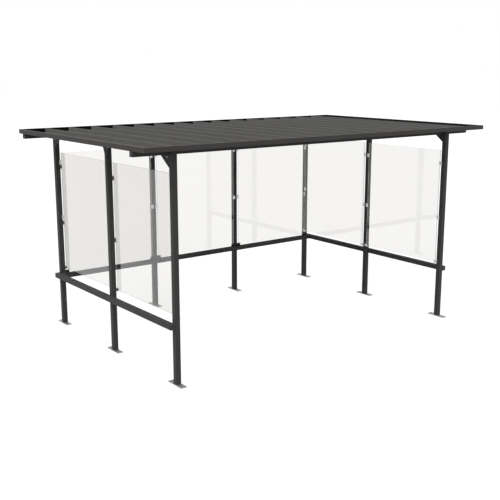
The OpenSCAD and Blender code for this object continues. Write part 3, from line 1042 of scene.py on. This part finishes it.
# %% Put the upright clamp together
CLAMP_W = 32
SCREW_X = 11
PAD_END = 1.5
upright_metal = joined("upright_clamp_metal", upright_body, jaw(CLAMP_W, half_long),
                       socket_head(SCREW_X))
upright_pads = pads("upright_clamp_pads", SLOT_X, CLAMP_W, PAD_END - half_long, half_long - PAD_END,
                    back_round=0.5)
print("clamp:", len(upright_metal.data.polygons), "faces of metal,",
      len(upright_pads.data.polygons), "of rubber")

# %% [markdown]
# A foot clamp lies lengthways under the edge of the glass and carries its weight on a floor. It has a
# left hand and a right hand, so `hand` says at which end of local Z its floor lies. Modelling both
# hands avoids mirrored copies, whose faces would point inwards.

# %% Model the foot clamps
FOOT_H = 30
FOOT_FLOOR = 10
FOOT_ROUND = 1.4
FOOT_PAD_END = 1


def foot_metal(slot_x, hand, name):
    """A foot clamp's body, floor, jaw and screw; hand is -1 with the floor at local -Z and 1 at +Z."""
    half = FOOT_H / 2
    floor = sorted((hand * half, hand * (half - FOOT_FLOOR)))
    body = rounded_block((0, 0, -half), (slot_x, CLAMP_D - JAW_T, half), FOOT_ROUND)
    seat = rounded_block((0, 0, floor[0]), (CLAMP_LONG, CLAMP_D, floor[1]), FOOT_ROUND)
    return joined(name, body, seat, jaw(CLAMP_LONG, half), socket_head(slot_x / 2))


def foot_pads(slot_x, hand, name):
    """The rubber pads of a foot clamp, from its floor to just short of its other end."""
    half = FOOT_H / 2
    bottom, top = sorted((hand * (half - FOOT_FLOOR), -hand * (half - FOOT_PAD_END)))
    return pads(name, slot_x, CLAMP_LONG, bottom, top, back_round=0.4)


print("foot clamps are", CLAMP_LONG, "mm long and", FOOT_H, "mm high")

# %% [markdown]
# ## Clamps in their places
#
# Every CAD clamp is a small box against one face of a post. The node says which wall it belongs to,
# and so which way the room lies. The post beside it says which way the glass lies. Those two
# directions make the rotation of the copy, and the box gives its place. Each wall has the axis that
# it runs along, 0 for X and 1 for Y, and the direction of the room.

# %% Work out where each clamp goes and which way it faces
ALONG_WALL_X, ALONG_WALL_Y = 0, 1
WALLS = {"left": (ALONG_WALL_Y, Vector((1, 0, 0))),
         "right": (ALONG_WALL_Y, Vector((-1, 0, 0))),
         "back": (ALONG_WALL_X, Vector((0, -1, 0)))}


def clamp_places(node, wall):
    """(point, Euler angles, hand, height) of each clamp solid of a node on this wall."""
    run, room = WALLS[wall]
    depth = ALONG_WALL_Y if run == ALONG_WALL_X else ALONG_WALL_X
    places = []
    for low, high in solids(node):
        middle = (low + high) / 2
        post_low, post_high = nearest_post(middle)
        past = math.copysign(1, middle[run] - (post_low[run] + post_high[run]) / 2)
        to_glass = Vector((0, 0, 0))
        to_glass[run] = past
        upright = to_glass.cross(room)
        point = middle.copy()
        point[run] = low[run] if past > 0 else high[run]
        point[depth] = low[depth] if room[depth] > 0 else high[depth]
        turn = Matrix((to_glass, room, upright)).transposed().to_euler()
        places.append((point, turn, -round(upright.z), (high - low).z / MM))
    return places


print("walls:", ", ".join(WALLS))

# %% [markdown]
# One function hangs all clamps of a node. It sorts them by height, because an upright clamp stands
# taller than a foot clamp lies, and the foot clamps again by hand. Each kind becomes one piece of
# metal and one of rubber, and the CAD node is hidden.

# %% Hang the clamps
REAR_FOOT_SLOT_X = 14
STANDING = (CLAMP_LONG + FOOT_H) / 2


def place_clamps(node, wall, metal, slot, foot_slot_x):
    """Metal and rubber copies for every clamp of a node, the upright ones and both hands of foot."""
    places = clamp_places(node, wall)
    upright = [spot for spot in places if spot[3] > STANDING]
    kinds = [("upright", upright, upright_metal, upright_pads)]
    for hand, side in ((-1, "right"), (1, "left")):
        feet = [spot for spot in places if spot[3] < STANDING and spot[2] == hand]
        kinds.append(("foot_" + side, feet, foot_metal(foot_slot_x, hand, node + side),
                      foot_pads(foot_slot_x, hand, node + side + "_pads")))
    for kind, chosen, casting, padding in kinds:
        if chosen:
            spots = [(point, turn) for point, turn, hand, height in chosen]
            hand_in(place(node + "_" + kind, casting, spots, metal), slot)
            hand_in(place(node + "_" + kind + "_pads", padding, spots, rubber), "cap_plastic")
    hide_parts(node)


for wall in ("left", "right", "back"):
    place_clamps("clamps_" + wall, wall, nickel, "clamp_metal", SLOT_X)
place_clamps("foot_clamps_back", "back", satin_black, "foot_clamp", REAR_FOOT_SLOT_X)

# %% [markdown]
# # The studio
#
# ## Camera
#
# A 60 mm lens on a tall tripod, 2.8 m up, looks across the open front from the left and a little
# down. The camera stands a fixed distance from the line of the middle posts.

# %% Set up the camera
LENS = 60.1
FROM_MIDDLE_ROW = Vector((-5.4487, -7.0889, 2.7647))
LOOK_DOWN = 12.47
LOOK_RIGHT = 37.29
camera_data = bpy.data.cameras.new("camera")
camera_data.lens = LENS
camera_data.sensor_width = 36
camera_data.clip_end = 200
camera = bpy.data.objects.new("camera", camera_data)
scene.collection.objects.link(camera)
middle_row = (posts["post_mid_left"][0].y + posts["post_mid_left"][1].y) / 2
camera.location = FROM_MIDDLE_ROW + Vector((0, middle_row, 0))
camera.rotation_euler = (math.radians(90 - LOOK_DOWN), 0, math.radians(-LOOK_RIGHT))
scene.camera = camera
print("camera at", [round(value, 3) for value in camera.location])

# %% [markdown]
# ## White studio
#
# A white cyclorama surrounds the shelter. Anything that looks straight at it, mirrors it or looks
# through glass at it should find plain white, but as a lamp it must be gentler, or the dark steel
# would wash out. Light Path tells the two apart: white for camera, glossy and transmission rays, and
# a softer level for the light that falls on surfaces.

# %% Surround the shelter with white
WORLD_LIGHT = 0.45
world = bpy.data.worlds.new("studio")
world.use_nodes = True
world.node_tree.nodes.clear()
scene.world = world


def seen_directly(tree):
    """1 for rays that look at, mirror or look through to a surface, and 0 for rays that light it."""
    ray = add(tree, "ShaderNodeLightPath")
    looked_at = add(tree, "ShaderNodeMath", {
        0: ray.outputs["Is Camera Ray"], 1: ray.outputs["Is Glossy Ray"]}, operation="MAXIMUM")
    seen = add(tree, "ShaderNodeMath", {
        0: looked_at.outputs[0], 1: ray.outputs["Is Transmission Ray"]}, operation="MAXIMUM")
    return seen.outputs[0]


tree = world.node_tree
backdrop = add(tree, "ShaderNodeBackground", {"Color": linear("#FFFFFF"), "Strength": 1.0})
lighting = add(tree, "ShaderNodeBackground", {"Color": linear("#FFFFFF"), "Strength": WORLD_LIGHT})
chosen = add(tree, "ShaderNodeMixShader", {
    0: seen_directly(tree), 1: lighting.outputs[0], 2: backdrop.outputs[0]})
add(tree, "ShaderNodeOutputWorld", {"Surface": chosen.outputs[0]})
print("the backdrop shows at 1.0 and lights at", WORLD_LIGHT)

# %% [markdown]
# ## Two soft lamps
#
# The key stands high on the left and lights the roof and the left faces, so that the front faces
# stay a shade darker. The fill comes in low from the front left, under the roof, where the sky
# alone would leave the rear wall's posts black. Both are very wide, as lamps behind large sheets of
# diffuser are, so they throw no hard shadow.

# %% Light the studio
def sun(name, energy, width, lean_front, lean_left):
    """A distant lamp: its energy, and in degrees its width and how far it leans from overhead."""
    data = bpy.data.lights.new(name, "SUN")
    data.energy = energy
    data.angle = math.radians(width)
    lamp = bpy.data.objects.new(name, data)
    lamp.rotation_euler = (math.radians(lean_front), math.radians(-lean_left), 0)
    scene.collection.objects.link(lamp)


sun("key", energy=1.52, width=40, lean_front=6, lean_left=34)
sun("fill", energy=0.95, width=60, lean_front=55, lean_left=39)

# %% [markdown]
# ## Floor
#
# The floor is pale and plain. Seen directly it glows almost white, with a small share of ordinary
# diffuse paint on top, and that share is what still shows the shelter's soft shadow. For light that
# bounces up under the roof it is ordinary pale paint.

# %% Lay the floor
FLOOR_REACH = 40
FLOOR_GLOW = 0.935
corners = [(x * FLOOR_REACH, y * FLOOR_REACH, 0) for x, y in ((-1, -1), (1, -1), (1, 1), (-1, 1))]
floor_mesh = bpy.data.meshes.new("floor")
floor_mesh.from_pydata(corners, [], [(0, 1, 2, 3)])
floor = bpy.data.objects.new("floor", floor_mesh)
scene.collection.objects.link(floor)
floor_paint = bpy.data.materials.new("white_studio_floor")
floor_paint.use_nodes = True
tree = floor_paint.node_tree
tree.nodes.clear()
glow = add(tree, "ShaderNodeEmission", {"Color": linear("#FFFFFF"), "Strength": FLOOR_GLOW})
shade = add(tree, "ShaderNodeBsdfDiffuse", {"Color": linear("#777777")})
glowing = add(tree, "ShaderNodeAddShader", {0: glow.outputs[0], 1: shade.outputs[0]})
plain = add(tree, "ShaderNodeBsdfDiffuse", {"Color": linear("#A0A0A0")})
mix = add(tree, "ShaderNodeMixShader", {
    0: seen_directly(tree), 1: plain.outputs[0], 2: glowing.outputs[0]})
add(tree, "ShaderNodeOutputMaterial", {"Surface": mix.outputs[0]})
floor_mesh.materials.append(floor_paint)
print("floor:", 2 * FLOOR_REACH, "m wide")

# %% [markdown]
# Finish
#
# Pictures show colours as they are with the Standard view transform.

# %% Show colours as they are
scene.view_settings.view_transform = "Standard"
